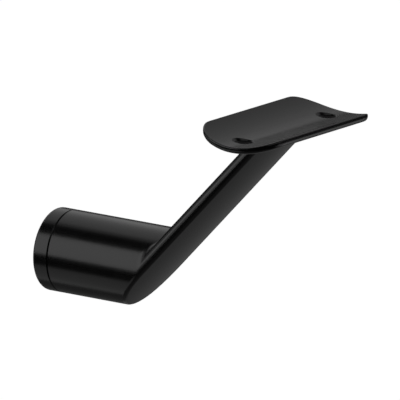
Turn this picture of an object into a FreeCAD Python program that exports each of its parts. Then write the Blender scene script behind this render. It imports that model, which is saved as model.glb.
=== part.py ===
import FreeCAD, Part

import math
import os

from FreeCAD import Placement, Rotation, Vector

# Handrail bracket, in millimetres and degrees.
# Origin: centre of the wall disc's back face. +X points away from the wall, +Y along the
# rail, +Z up. The bracket is symmetric about the XZ plane.

# Standoff barrel and the wall disc behind it, finished to one diameter
BARREL_DIAMETER = 25.0
DISC_THICKNESS = 5.3
DISC_BACK_EDGE = 1.0
SEAM_CHAMFER = 0.3

# Spigot on the disc, the socket in the barrel that slides over it, and the wall screw's hole
SPIGOT_DIAMETER = 16.0
SPIGOT_LENGTH = 12.0
SPIGOT_CHAMFER = 0.8
SOCKET_CLEARANCE = 0.1
SOCKET_HEAD_ROOM = 3.0
WALL_HOLE_DIAMETER = 6.5
WALL_SCREW_HEAD_DIAMETER = 12.5
COUNTERSINK_ANGLE = 90.0

# Grub screw through the underside of the barrel, its cone seated in a groove in the spigot
GRUB_DIAMETER = 5.0
GRUB_THREAD_CLEARANCE = 0.05
GRUB_FROM_SEAM = 6.5
GRUB_RECESS = 0.5
GRUB_KEY_ACROSS_FLATS = 2.5
GRUB_KEY_DEPTH = 2.0
GRUB_TIP_DIAMETER = 1.2
GRUB_END_CHAMFER = 0.3
GROOVE_DEPTH = 1.0
GRUB_SEAT_GAP = 0.05

# Elbow and arm. The arm is as wide as the barrel, and its slightly crowned underside carries on
# down to cut the barrel's end off. Depths are measured square to the arm, from the line that
# runs up its middle from the barrel's axis.
ELBOW_REACH = 36.0
ARM_INBOARD = 1.8
ARM_THICKNESS = 4.9
ARM_UNDERSIDE_DEPTH = 2.8
ARM_UNDERSIDE_RADIUS = 66.0
ARM_LOWER_EDGE = 1.5
ARM_FILLET = 1.5

# Saddle plate, hollowed to the rail's underside
SADDLE_REACH = 79.0
SADDLE_HEIGHT = 48.4
SADDLE_LENGTH = 63.0
SADDLE_WIDTH = 26.4
SADDLE_THICKNESS = 2.0
SADDLE_END_RADIUS = 22.0
SADDLE_CORNER_RADIUS = 9.5
SADDLE_TOP_EDGE = 0.4
SADDLE_BOTTOM_EDGE = 1.5
RAIL_RADIUS = 27.5
RAIL_AXIS_OFFSET = 1.6

# Screw holes from the saddle into the rail, countersunk from below
SCREW_HOLE_SPACING = 45.5
SCREW_HOLE_DIAMETER = 5.5
SCREW_HEAD_DIAMETER = 8.5
SCREW_HOLE_EDGE = 0.3

OUT = Vector(1, 0, 0)
ALONG = Vector(0, 1, 0)
UP = Vector(0, 0, 1)
ORIGIN = Vector(0, 0, 0)

BARREL_RADIUS = BARREL_DIAMETER / 2
SPIGOT_RADIUS = SPIGOT_DIAMETER / 2
SOCKET_RADIUS = SPIGOT_RADIUS + SOCKET_CLEARANCE
GRUB_X = DISC_THICKNESS + GRUB_FROM_SEAM
SADDLE_UNDERSIDE_Z = SADDLE_HEIGHT - SADDLE_THICKNESS
RAIL_AXIS = Vector(SADDLE_REACH + RAIL_AXIS_OFFSET, 0, SADDLE_HEIGHT + RAIL_RADIUS)
ARM_RISE = math.atan2(SADDLE_UNDERSIDE_Z, SADDLE_REACH - ARM_INBOARD - ELBOW_REACH)
ARM_DIRECTION = Vector(math.cos(ARM_RISE), 0, math.sin(ARM_RISE))
ARM_UNDER = Vector(math.sin(ARM_RISE), 0, -math.cos(ARM_RISE))
ARM_TOP_DEPTH = ARM_UNDERSIDE_DEPTH - ARM_THICKNESS


def revolved(edges, axis):
    """Solid from a closed half profile turned once about an axis through the origin."""
    return Part.Face(Part.Wire(edges)).revolve(ORIGIN, axis, 360)


def lines(points):
    return [Part.LineSegment(a, b).toShape() for a, b in zip(points, points[1:])]


def countersink_depth(head_diameter, hole_diameter):
    return (head_diameter - hole_diameter) / 2 / math.tan(math.radians(COUNTERSINK_ANGLE / 2))


def make_wall_disc():
    """Turned disc and spigot, grooved for the grub screw, bored and countersunk for one wall screw."""
    tip = DISC_THICKNESS + SPIGOT_LENGTH
    hole = WALL_HOLE_DIAMETER / 2
    sink = countersink_depth(WALL_SCREW_HEAD_DIAMETER, WALL_HOLE_DIAMETER)
    back_edge_centre = Vector(DISC_BACK_EDGE, 0, BARREL_RADIUS - DISC_BACK_EDGE)
    diagonal = Vector(-1, 0, 1) * (DISC_BACK_EDGE / math.sqrt(2))
    back_edge_start = Vector(0, 0, BARREL_RADIUS - DISC_BACK_EDGE)
    back_edge_end = Vector(DISC_BACK_EDGE, 0, BARREL_RADIUS)
    back_edge = Part.Arc(back_edge_start, back_edge_centre + diagonal, back_edge_end).toShape()
    profile = [
        (DISC_THICKNESS - SEAM_CHAMFER, BARREL_RADIUS),
        (DISC_THICKNESS, BARREL_RADIUS - SEAM_CHAMFER),
        (DISC_THICKNESS, SPIGOT_RADIUS),
        (GRUB_X - GROOVE_DEPTH, SPIGOT_RADIUS),
        (GRUB_X, SPIGOT_RADIUS - GROOVE_DEPTH),
        (GRUB_X + GROOVE_DEPTH, SPIGOT_RADIUS),
        (tip - SPIGOT_CHAMFER, SPIGOT_RADIUS),
        (tip, SPIGOT_RADIUS - SPIGOT_CHAMFER),
        (tip, WALL_SCREW_HEAD_DIAMETER / 2),
        (tip - sink, hole),
        (0, hole),
    ]
    points = [Vector(x, 0, radius) for x, radius in profile]
    return revolved([back_edge] + lines([back_edge_end] + points + [back_edge_start]), OUT)


def make_grub_screw():
    """Headless set screw standing on -Z: cone point towards the spigot, hexagon socket outside."""
    thread = GRUB_DIAMETER / 2 - GRUB_THREAD_CLEARANCE
    outer_end = BARREL_RADIUS - GRUB_RECESS
    apex = SPIGOT_RADIUS - GROOVE_DEPTH + GRUB_SEAT_GAP
    tip = GRUB_TIP_DIAMETER / 2
    profile = [
        (0, apex + tip),
        (tip, apex + tip),
        (thread, apex + thread),
        (thread, outer_end - GRUB_END_CHAMFER),
        (thread - GRUB_END_CHAMFER, outer_end),
        (0, outer_end),
        (0, apex + tip),
    ]
    screw = revolved(lines([Vector(radius, 0, -depth) for radius, depth in profile]), UP)
    corner = Vector(GRUB_KEY_ACROSS_FLATS / math.sqrt(3), 0, -outer_end)
    turn = FreeCAD.Rotation(UP, 60)
    corners = [corner]
    while len(corners) < 7:
        corners.append(turn.multVec(corners[-1]))
    key_socket = Part.Face(Part.Wire(lines(corners))).extrude(UP * GRUB_KEY_DEPTH)
    screw = screw.cut(key_socket)
    screw.translate(OUT * GRUB_X)
    return screw


def extruded_across(outline):
    """Prism on an outline of (x, z) points, wider than anything here on both sides."""
    points = [Vector(x, 0, z) for x, z in outline]
    prism = Part.Face(Part.Wire(lines(points + points[:1]))).extrude(ALONG * (2 * SADDLE_LENGTH))
    prism.translate(ALONG * -SADDLE_LENGTH)
    return prism


def x_at(depth, z):
    return ELBOW_REACH + (depth - z * ARM_UNDER.z) / ARM_UNDER.x


def lower_edge_centre():
    """Centre of the rounding between the arm's side and its crowned underside: (y, depth)."""
    y = BARREL_RADIUS - ARM_LOWER_EDGE
    rise = math.sqrt((ARM_UNDERSIDE_RADIUS - ARM_LOWER_EDGE) ** 2 - y ** 2)
    return y, ARM_UNDERSIDE_DEPTH - ARM_UNDERSIDE_RADIUS + rise


def arm_foot(side_depth):
    """Where the arm's widest line meets the barrel's, and a point far below it, square to the arm."""
    foot = OUT * x_at(side_depth, 0)
    return foot, foot + ARM_UNDER * BARREL_DIAMETER


def make_barrel():
    """Round barrel cut off by the underside, its rim rounded. Above its middle it ends inside the arm."""
    beyond = 2 * SADDLE_REACH
    crown_axis = OUT * ELBOW_REACH + ARM_UNDER * (ARM_UNDERSIDE_DEPTH - ARM_UNDERSIDE_RADIUS)
    crowned = Part.makeCylinder(ARM_UNDERSIDE_RADIUS, 2 * beyond)
    seam_on_top = Rotation(-ARM_UNDER, -ALONG, ARM_DIRECTION, "ZXY")
    crowned.Placement = Placement(crown_axis - ARM_DIRECTION * beyond, seam_on_top)
    barrel = Part.makeCylinder(BARREL_RADIUS, beyond, OUT * DISC_THICKNESS, OUT).common(crowned)
    rim = [edge for edge in barrel.Edges
           if edge.BoundBox.XMax > ELBOW_REACH and edge.BoundBox.YLength > BARREL_RADIUS / 2]
    barrel = barrel.makeFillet(ARM_LOWER_EDGE, rim)

    side_depth = lower_edge_centre()[1]
    upper_edge = side_depth - ARM_TOP_DEPTH
    shoulder_z = math.sqrt(BARREL_RADIUS ** 2 - (BARREL_RADIUS - upper_edge) ** 2)
    buried = ARM_TOP_DEPTH + upper_edge / 2
    foot, below = arm_foot(side_depth)
    return barrel.cut(extruded_across([
        (foot.x, foot.z),
        (x_at(ARM_TOP_DEPTH, shoulder_z), shoulder_z),
        (x_at(buried, shoulder_z + upper_edge), shoulder_z + upper_edge),
        (x_at(buried, BARREL_DIAMETER), BARREL_DIAMETER),
        (beyond, BARREL_DIAMETER),
        (beyond, below.z),
        (below.x, below.z),
    ]))


def arm_section(centre):
    """Flat bar's section: level top, well rounded upper edges, tighter lower ones, crowned underside."""
    edge_y, side_depth = lower_edge_centre()
    upper_edge = side_depth - ARM_TOP_DEPTH
    set_in = upper_edge * (1 - math.sqrt(0.5))
    across = edge_y / (ARM_UNDERSIDE_RADIUS - ARM_LOWER_EDGE)
    down = math.sqrt(1 - across ** 2)
    halfway = ARM_LOWER_EDGE / math.hypot(1 + across, down)
    upper_end = (BARREL_RADIUS - upper_edge, ARM_TOP_DEPTH)
    upper_middle = (BARREL_RADIUS - set_in, ARM_TOP_DEPTH + set_in)
    widest = (BARREL_RADIUS, side_depth)
    lower_middle = (edge_y + halfway * (1 + across), side_depth + halfway * down)
    lower_end = (edge_y + ARM_LOWER_EDGE * across, side_depth + ARM_LOWER_EDGE * down)

    def at(point, side):
        return centre + ALONG * (side * point[0]) + ARM_UNDER * point[1]

    edges = lines([at(upper_end, -1), at(upper_end, 1)])
    for side in (-1, 1):
        upper = [at(point, side) for point in (upper_end, upper_middle, widest)]
        lower = [at(point, side) for point in (widest, lower_middle, lower_end)]
        edges += [Part.Arc(*upper).toShape(), Part.Arc(*lower).toShape()]
    crown = [at(lower_end, -1), at((0, ARM_UNDERSIDE_DEPTH), 1), at(lower_end, 1)]
    edges.append(Part.Arc(*crown).toShape())
    return Part.Face(Part.Wire(Part.__sortEdges__(edges)))


def make_arm():
    """Flat arm from the barrel's middle to past the saddle."""
    length = (SADDLE_HEIGHT + BARREL_RADIUS) / math.sin(ARM_RISE) + BARREL_RADIUS
    arm = arm_section(OUT * ELBOW_REACH - ARM_DIRECTION * BARREL_RADIUS).extrude(ARM_DIRECTION * length)
    foot, below = arm_foot(lower_edge_centre()[1])
    return arm.cut(extruded_across([
        (0, 0), (foot.x, foot.z), (below.x, below.z), (0, -2 * BARREL_DIAMETER)]))


def rail_cylinder(radius):
    """Everything within a radius of the rail's axis, past both ends of the saddle."""
    start = RAIL_AXIS - ALONG * SADDLE_LENGTH
    return Part.makeCylinder(radius, 2 * SADDLE_LENGTH, start, ALONG)


def distance_from_rail_axis(point):
    return math.hypot(point.x - RAIL_AXIS.x, point.z - RAIL_AXIS.z)


def edges_round_rail(shape, radius, reach):
    """Edges that lie all along on a cylinder about the rail's axis, within a reach along Y."""
    found = []
    for edge in shape.Edges:
        points = edge.discretize(5)
        on_cylinder = all(abs(distance_from_rail_axis(p) - radius) < 0.01 for p in points)
        if on_cylinder and all(abs(p.y) < reach for p in points):
            found.append(edge)
    return found


def saddle_outline():
    """Column on the saddle's outline from above: straight sides, bulging ends and rounded corners."""
    half_length = SADDLE_LENGTH / 2
    half_width = SADDLE_WIDTH / 2
    end_y = half_length - SADDLE_END_RADIUS + math.sqrt(SADDLE_END_RADIUS ** 2 - half_width ** 2)
    middle = OUT * SADDLE_REACH

    def at(x, y):
        return middle + Vector(x, y, 0)

    outline = Part.Face(Part.Wire([
        Part.Arc(at(-half_width, -end_y), at(0, -half_length), at(half_width, -end_y)).toShape(),
        Part.LineSegment(at(half_width, -end_y), at(half_width, end_y)).toShape(),
        Part.Arc(at(half_width, end_y), at(0, half_length), at(-half_width, end_y)).toShape(),
        Part.LineSegment(at(-half_width, end_y), at(-half_width, -end_y)).toShape(),
    ]))
    column = outline.extrude(UP * RAIL_AXIS.z)
    uprights = [edge for edge in column.Edges if abs(edge.tangentAt(edge.FirstParameter).z) > 0.99]
    return column.makeFillet(SADDLE_CORNER_RADIUS, uprights)


def make_saddle():
    """Plate between two cylinders about the rail's axis, with a crisp top rim and a soft lower one."""
    underside = RAIL_RADIUS + SADDLE_THICKNESS
    plate = rail_cylinder(underside).cut(rail_cylinder(RAIL_RADIUS)).common(saddle_outline())
    plate = plate.makeFillet(SADDLE_TOP_EDGE, edges_round_rail(plate, RAIL_RADIUS, SADDLE_LENGTH))
    return plate.makeFillet(SADDLE_BOTTOM_EDGE, edges_round_rail(plate, underside, SADDLE_LENGTH))


def rail_screw_cutter(y):
    """Clearance hole with its top edge broken and a countersink from below."""
    hole = SCREW_HOLE_DIAMETER / 2
    sink = countersink_depth(SCREW_HEAD_DIAMETER, SCREW_HOLE_DIAMETER)
    profile = [
        (0, SADDLE_HEIGHT + RAIL_RADIUS),
        (hole + SCREW_HOLE_EDGE + RAIL_RADIUS, SADDLE_HEIGHT + RAIL_RADIUS),
        (hole, SADDLE_HEIGHT - SCREW_HOLE_EDGE),
        (hole, SADDLE_UNDERSIDE_Z + sink),
        (SCREW_HEAD_DIAMETER / 2, SADDLE_UNDERSIDE_Z),
        (SCREW_HEAD_DIAMETER / 2, SADDLE_UNDERSIDE_Z - SADDLE_THICKNESS),
        (0, SADDLE_UNDERSIDE_Z - SADDLE_THICKNESS),
        (0, SADDLE_HEIGHT + RAIL_RADIUS),
    ]
    cutter = revolved(lines([Vector(radius, 0, z) for radius, z in profile]), UP)
    cutter.translate(Vector(SADDLE_REACH, y, 0))
    return cutter


def socket_cutter():
    """Blind bore for the spigot with a broken mouth, and the chamfer round the barrel's back rim."""
    mouth = DISC_THICKNESS
    bottom = mouth + SPIGOT_LENGTH + SOCKET_HEAD_ROOM
    bore = revolved(lines([
        Vector(mouth, 0, 0),
        Vector(mouth, 0, SOCKET_RADIUS + SEAM_CHAMFER),
        Vector(mouth + SEAM_CHAMFER, 0, SOCKET_RADIUS),
        Vector(bottom, 0, SOCKET_RADIUS),
        Vector(bottom, 0, 0),
        Vector(mouth, 0, 0),
    ]), OUT)
    rim = revolved(lines([
        Vector(mouth, 0, BARREL_RADIUS - SEAM_CHAMFER),
        Vector(mouth, 0, BARREL_DIAMETER),
        Vector(mouth + SEAM_CHAMFER, 0, BARREL_DIAMETER),
        Vector(mouth + SEAM_CHAMFER, 0, BARREL_RADIUS),
        Vector(mouth, 0, BARREL_RADIUS - SEAM_CHAMFER),
    ]), OUT)
    return bore.fuse(rim)


def make_bracket_body():
    """One casting: standoff barrel, elbow, arm and saddle, then bored and drilled."""
    above_underside = rail_cylinder(RAIL_RADIUS + SADDLE_THICKNESS / 2)
    body = make_barrel().fuse(make_arm()).cut(above_underside).fuse(make_saddle())
    underside = RAIL_RADIUS + SADDLE_THICKNESS
    arm_root = edges_round_rail(body, underside, BARREL_RADIUS + ARM_FILLET)
    body = body.makeFillet(ARM_FILLET, arm_root)
    body = body.cut(socket_cutter())
    body = body.cut(Part.makeCylinder(GRUB_DIAMETER / 2, BARREL_DIAMETER, OUT * GRUB_X, -UP))
    for y in (-SCREW_HOLE_SPACING / 2, SCREW_HOLE_SPACING / 2):
        body = body.cut(rail_screw_cutter(y))
    return body


os.makedirs("parts", exist_ok=True)
make_bracket_body().exportStep("parts/bracket_body.step")
make_wall_disc().exportStep("parts/wall_disc.step")
make_grub_screw().exportStep("parts/grub_screw.step")
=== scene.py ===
"""A cast handrail bracket, powder-coated satin black: wall disc, standoff barrel, flat arm and
saddle for a round rail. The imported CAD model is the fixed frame. This script gives it its
finishes, adds the fillet in the crook of the elbow and sets up the studio."""
import math

import bmesh
import bpy
from mathutils import Matrix, Vector


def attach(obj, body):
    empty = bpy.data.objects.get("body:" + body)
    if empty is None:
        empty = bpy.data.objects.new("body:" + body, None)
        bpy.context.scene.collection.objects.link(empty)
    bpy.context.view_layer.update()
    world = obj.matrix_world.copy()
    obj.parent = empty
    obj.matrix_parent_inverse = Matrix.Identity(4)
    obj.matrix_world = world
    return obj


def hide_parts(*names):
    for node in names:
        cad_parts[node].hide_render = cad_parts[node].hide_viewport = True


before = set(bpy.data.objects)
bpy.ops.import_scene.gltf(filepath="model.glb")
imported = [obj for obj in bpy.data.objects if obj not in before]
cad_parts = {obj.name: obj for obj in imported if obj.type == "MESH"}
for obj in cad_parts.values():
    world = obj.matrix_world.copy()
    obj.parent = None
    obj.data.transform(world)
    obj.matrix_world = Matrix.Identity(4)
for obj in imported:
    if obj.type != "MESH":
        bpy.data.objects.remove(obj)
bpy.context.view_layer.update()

# ---------------------------------------------------------------- bracket body
# One zinc casting from barrel to saddle, fettled smooth and powder-coated satin black. The coat
# has a very fine orange-peel skin and a faint mottle. Where barrel and arm meet over the elbow,
# the crook is filled out by a fillet that widens down both sides.

coat_dark, coat_pale = (0.0022, 0.0022, 0.0023, 1.0), (0.0036, 0.0036, 0.0038, 1.0)
coat_glossiest, coat_dullest = 0.18, 0.24
mottles_per_metre = 120.0
peel_width, peel_depth = 0.0009, 0.0000025


def powder_coat(name, seed):
    """Satin black powder coat: a dark base, a fine orange-peel skin and an uneven gloss.

    The seed shifts the pattern, so that it doesn't run on from one piece to the next.
    """
    coat = bpy.data.materials.new(name)
    coat.use_nodes = True
    nodes, links = coat.node_tree.nodes, coat.node_tree.links
    shader = nodes["Principled BSDF"]
    shader.inputs["Metallic"].default_value = 0.0
    shader.inputs["IOR"].default_value = 1.5

    place = nodes.new("ShaderNodeTexCoord")
    shift = nodes.new("ShaderNodeMapping")
    shift.inputs["Location"].default_value = (seed, 2 * seed, 3 * seed)
    links.new(place.outputs["Object"], shift.inputs["Vector"])

    mottle = nodes.new("ShaderNodeTexNoise")
    mottle.inputs["Scale"].default_value = mottles_per_metre
    mottle.inputs["Detail"].default_value = 4.0
    links.new(shift.outputs["Vector"], mottle.inputs["Vector"])

    tint = nodes.new("ShaderNodeValToRGB")
    dark_stop, pale_stop = tint.color_ramp.elements
    dark_stop.position, dark_stop.color = 0.35, coat_dark
    pale_stop.position, pale_stop.color = 0.7, coat_pale
    links.new(mottle.outputs["Fac"], tint.inputs["Fac"])
    links.new(tint.outputs["Color"], shader.inputs["Base Color"])

    gloss = nodes.new("ShaderNodeMapRange")
    gloss.inputs["To Min"].default_value = coat_glossiest
    gloss.inputs["To Max"].default_value = coat_dullest
    links.new(mottle.outputs["Fac"], gloss.inputs["Value"])
    links.new(gloss.outputs["Result"], shader.inputs["Roughness"])

    peel = nodes.new("ShaderNodeTexNoise")
    peel.inputs["Scale"].default_value = 1.0 / peel_width
    peel.inputs["Detail"].default_value = 2.0
    links.new(shift.outputs["Vector"], peel.inputs["Vector"])
    skin = nodes.new("ShaderNodeBump")
    skin.inputs["Strength"].default_value = 1.0
    skin.inputs["Distance"].default_value = peel_depth
    links.new(peel.outputs["Fac"], skin.inputs["Height"])
    links.new(skin.outputs["Normal"], shader.inputs["Normal"])
    return coat


# The arm leaves the barrel's axis at the elbow. Its depths are square to it, down from the line
# through that point. Its width is the barrel's.
barrel_radius, elbow_reach = 0.0125, 0.036
arm_height, arm_run = 0.0464, 0.0412
arm_rise = math.atan2(arm_height, arm_run)
arm_top_depth, arm_upper_edge = -0.0021, 0.002455

# The fillet's radius is smallest on top and widens mostly low down on the sides.
crook_radius, crook_widening, crook_steepness = 0.0015, 0.0080, 5
crook_overlap = 0.0003
crook_stations, arc_points = 72, 9
section_points = arc_points + 1


def crook_section(lean):
    """Section of the crook's fillet, where the barrel's round leans `lean` from upright.

    It is what a ball that touches both barrel and arm would leave. Each point comes with the
    way the surface faces there. The first is buried in the casting and has no facing.
    """
    radius = crook_radius + crook_widening * abs(math.sin(lean)) ** crook_steepness
    y, z = (barrel_radius + radius) * math.sin(lean), (barrel_radius + radius) * math.cos(lean)
    edge = arm_upper_edge + radius
    past_flat = max(0.0, abs(y) - (barrel_radius - arm_upper_edge)) / edge
    arm_lean = math.copysign(math.asin(min(1.0, past_flat)), lean)
    depth = arm_top_depth + arm_upper_edge - edge * math.cos(arm_lean)
    ball = Vector((elbow_reach + (depth + z * math.cos(arm_rise)) / math.sin(arm_rise), y, z))
    off_barrel = Vector((0.0, math.sin(lean), math.cos(lean)))
    off_arm = Vector((
        -math.sin(arm_rise) * math.cos(arm_lean), math.sin(arm_lean),
        math.cos(arm_rise) * math.cos(arm_lean)))
    half = off_barrel.angle(off_arm, 0.0) / 2
    middle = (off_barrel + off_arm).normalized()
    section = [(ball - (radius / math.cos(half) + crook_overlap * math.cos(lean)) * middle, None)]
    for step in range(arc_points):
        facing = off_barrel.lerp(off_arm, step / (arc_points - 1)).normalized()
        section.append((ball - radius * facing, facing))
    return section


# A copy of the CAD body keeps its facings, corner by corner. The fillet is a grid curled up into
# a closed roll: each column is one section, and the rows run over the barrel from side to side.
cad_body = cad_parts["bracket_body"]
facings = [corner.vector.copy() for corner in cad_body.data.corner_normals]
casting = bmesh.new()
casting.from_mesh(cad_body.data)
bmesh.ops.remove_doubles(casting, verts=casting.verts, dist=1e-7)
fillet = bmesh.ops.create_grid(
    casting, x_segments=crook_stations, y_segments=section_points, size=1.0)["verts"]
fillet_verts = set(fillet)
fillet_faces = [face for face in casting.faces if fillet_verts.issuperset(face.verts)]
fillet_facing = {}
for vert in fillet:
    section = crook_section(vert.co.x * math.pi / 2)
    row = round((vert.co.y + 1) / 2 * section_points) % section_points
    vert.co, fillet_facing[vert] = section[row]
bmesh.ops.remove_doubles(casting, verts=fillet, dist=1e-6)
bmesh.ops.recalc_face_normals(casting, faces=[face for face in fillet_faces if face.is_valid])
casting.verts.index_update()
facing_at = {
    vert.index: facing for vert, facing in fillet_facing.items() if vert.is_valid and facing}
casting_mesh = bpy.data.meshes.new("bracket_casting")
casting.to_mesh(casting_mesh)
casting.free()

casting_mesh.polygons.foreach_set("use_smooth", [True] * len(casting_mesh.polygons))
buried_facing = Vector((0.0, 0.0, 1.0))
facings += [facing_at.get(loop.vertex_index, buried_facing)
            for loop in casting_mesh.loops[len(facings):]]
casting_mesh.normals_split_custom_set(facings)
casting_mesh.materials.append(powder_coat("satin_black_coat", 0.0))
bracket_casting = bpy.data.objects.new("bracket_casting", casting_mesh)
bpy.context.scene.collection.objects.link(bracket_casting)
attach(bracket_casting, "root")
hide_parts("bracket_body")

# ------------------------------------------------------------------- wall disc
# A steel disc turned in one with its spigot. It is coated the same black, and one countersunk
# screw through its middle holds it to the wall before the barrel slides over the spigot.

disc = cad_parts["wall_disc"]
disc.data.materials.clear()
disc.data.materials.append(powder_coat("satin_black_disc_coat", 0.31))

# ------------------------------------------------------------------ grub screw
# A hexagon socket set screw of black-oxide steel, from below into the barrel. Its cone seats in
# the spigot's groove and draws the casting against the disc.

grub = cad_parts["grub_screw"]
oxide = bpy.data.materials.new("black_oxide_steel")
oxide.use_nodes = True
oxide_nodes, oxide_links = oxide.node_tree.nodes, oxide.node_tree.links
oxide_shader = oxide_nodes["Principled BSDF"]
oxide_shader.inputs["Metallic"].default_value = 1.0
oxide_place = oxide_nodes.new("ShaderNodeTexCoord")
oxide_bloom = oxide_nodes.new("ShaderNodeTexNoise")
oxide_bloom.inputs["Scale"].default_value = 900.0
oxide_links.new(oxide_place.outputs["Object"], oxide_bloom.inputs["Vector"])
oxide_tint = oxide_nodes.new("ShaderNodeValToRGB")
oxide_tint.color_ramp.elements[0].color = (0.02, 0.02, 0.022, 1.0)
oxide_tint.color_ramp.elements[1].color = (0.06, 0.058, 0.055, 1.0)
oxide_links.new(oxide_bloom.outputs["Fac"], oxide_tint.inputs["Fac"])
oxide_links.new(oxide_tint.outputs["Color"], oxide_shader.inputs["Base Color"])
oxide_gloss = oxide_nodes.new("ShaderNodeMapRange")
oxide_gloss.inputs["To Min"].default_value = 0.3
oxide_gloss.inputs["To Max"].default_value = 0.5
oxide_links.new(oxide_bloom.outputs["Fac"], oxide_gloss.inputs["Value"])
oxide_links.new(oxide_gloss.outputs["Result"], oxide_shader.inputs["Roughness"])
grub.data.materials.clear()
grub.data.materials.append(oxide)

# ---------------------------------------------------------------------- camera
# A long lens three metres off, a little above the bracket and to the right of its near side,
# rolled by two degrees.

camera_around, camera_above, camera_roll = (math.radians(angle) for angle in (32.42, 13.05, 2.09))
camera_distance, lens_length, sensor_width = 3.0886, 944.9, 36.0
aim_start, aim_right, aim_down = Vector((0.045, 0.0, 0.025)), 0.0043565, 0.0031988

toward_camera = Vector((
    math.sin(camera_around) * math.cos(camera_above),
    -math.cos(camera_around) * math.cos(camera_above),
    math.sin(camera_above)))
level_right = Vector((math.cos(camera_around), math.sin(camera_around), 0.0))
level_up = toward_camera.cross(level_right)
right = level_right * math.cos(camera_roll) + level_up * math.sin(camera_roll)
up = level_up * math.cos(camera_roll) - level_right * math.sin(camera_roll)
aim = aim_start + aim_right * right - aim_down * up

camera = bpy.data.objects.new("camera", bpy.data.cameras.new("camera"))
bpy.context.scene.collection.objects.link(camera)
camera.data.sensor_width = sensor_width
camera.data.lens = lens_length
camera.data.clip_end = 200.0
turn = Matrix((right, up, toward_camera)).transposed().to_4x4()
camera.matrix_world = Matrix.Translation(aim + camera_distance * toward_camera) @ turn
bpy.context.scene.camera = camera

# ----------------------------------------------------------------------- floor
# A pale studio floor far below the bracket, lit until it reads as plain white. The bracket's
# gloss doesn't pick it up.

floor_half_width, floor_drop = 40.0, 3.3

floor_shape = bmesh.new()
bmesh.ops.create_grid(floor_shape, x_segments=1, y_segments=1, size=floor_half_width)
bmesh.ops.translate(floor_shape, verts=floor_shape.verts, vec=(0.0, 0.0, -floor_drop))
floor_mesh = bpy.data.meshes.new("floor")
floor_shape.to_mesh(floor_mesh)
floor_shape.free()
floor = bpy.data.objects.new("floor", floor_mesh)
bpy.context.scene.collection.objects.link(floor)
floor.visible_glossy = False
floor.visible_diffuse = False
paper = bpy.data.materials.new("lit_white_paper")
paper.use_nodes = True
paper_shader = paper.node_tree.nodes["Principled BSDF"]
paper_shader.inputs["Base Color"].default_value = (0.8, 0.8, 0.8, 1.0)
paper_shader.inputs["Roughness"].default_value = 0.9
paper_shader.inputs["Emission Color"].default_value = (1.0, 1.0, 1.0, 1.0)
paper_shader.inputs["Emission Strength"].default_value = 1.0
floor_mesh.materials.append(paper)

# ---------------------------------------------------------------------- lights
# Soft boxes round the bracket, a metre and a half away, that the camera doesn't see. The satin
# coat shows little but their reflections, so each one's edges matter as much as its strength.

bracket_middle, panel_distance = Vector((0.045, 0.0, 0.02)), 1.5


def soft_panel(name, around, above, wide, high, radiance):
    """A soft box facing the bracket. Its place and its size are degrees seen from there."""
    data = bpy.data.lights.new(name, "AREA")
    data.shape = "RECTANGLE"
    data.size = 2 * panel_distance * math.tan(math.radians(wide / 2))
    data.size_y = 2 * panel_distance * math.tan(math.radians(high / 2))
    data.energy = radiance * math.pi * data.size * data.size_y
    panel = bpy.data.objects.new(name, data)
    bpy.context.scene.collection.objects.link(panel)
    panel.visible_camera = False
    a, e = math.radians(around), math.radians(above)
    toward = Vector((math.sin(a) * math.cos(e), -math.cos(a) * math.cos(e), math.sin(e)))
    panel.location = bracket_middle + panel_distance * toward
    panel.rotation_euler = toward.to_track_quat("Z", "Y").to_euler()


# The key, in front to the left: the band along the barrel and the line up the arm's left edge.
soft_panel("key_panel", -41, 16.5, 46, 45, 1.25)
soft_panel("left_panel", -76, 12, 24, 36, 0.3)
# Behind: the barrel's upper flank, then the saddle's hollow and the band along its outer side.
soft_panel("back_left_panel", -129, 43, 40, 60, 0.3)
soft_panel("back_left_fill", -122.5, 43, 49, 60, 0.3)
soft_panel("back_panel", 178, 33, 66, 34, 0.3)
soft_panel("horizon_panel", -150, 1, 56, 20, 0.07)
# Low down: the barrel's lower flank, then the arm's underside and the edge beside it.
soft_panel("low_front_panel", -55, -47, 60, 28, 0.36)
soft_panel("low_left_panel", -122, -42, 52, 40, 0.07)
soft_panel("low_back_panel", -178, -36, 60, 44, 0.13)
soft_panel("under_panel", 60, -88, 60, 60, 0.07)
# For small things alone: the saddle's near and outer edges, its screw holes and its fillet.
soft_panel("low_side_panel", -84, -22, 50, 22, 0.2)
soft_panel("low_back_right_panel", 140, -26, 44, 22, 0.45)
soft_panel("overhead_panel", 0, 88, 42, 42, 0.4)
soft_panel("right_panel", 100, 25, 60, 40, 0.4)

# The room is dark to everything but the camera, which sees a white sweep behind the bracket.
room_glow, sweep_glow = 0.015, 1.0

world = bpy.data.worlds.new("studio")
world.use_nodes = True
world_nodes, world_links = world.node_tree.nodes, world.node_tree.links
dark_room = world_nodes["Background"]
dark_room.inputs["Color"].default_value = (room_glow, room_glow, room_glow, 1.0)
white_sweep = world_nodes.new("ShaderNodeBackground")
white_sweep.inputs["Color"].default_value = (sweep_glow, sweep_glow, sweep_glow, 1.0)
seen = world_nodes.new("ShaderNodeLightPath")
either = world_nodes.new("ShaderNodeMixShader")
world_links.new(seen.outputs["Is Camera Ray"], either.inputs["Fac"])
world_links.new(dark_room.outputs["Background"], either.inputs[1])
world_links.new(white_sweep.outputs["Background"], either.inputs[2])
world_links.new(either.outputs["Shader"], world_nodes["World Output"].inputs["Surface"])
bpy.context.scene.world = world
bpy.context.scene.view_settings.view_transform = "Standard"
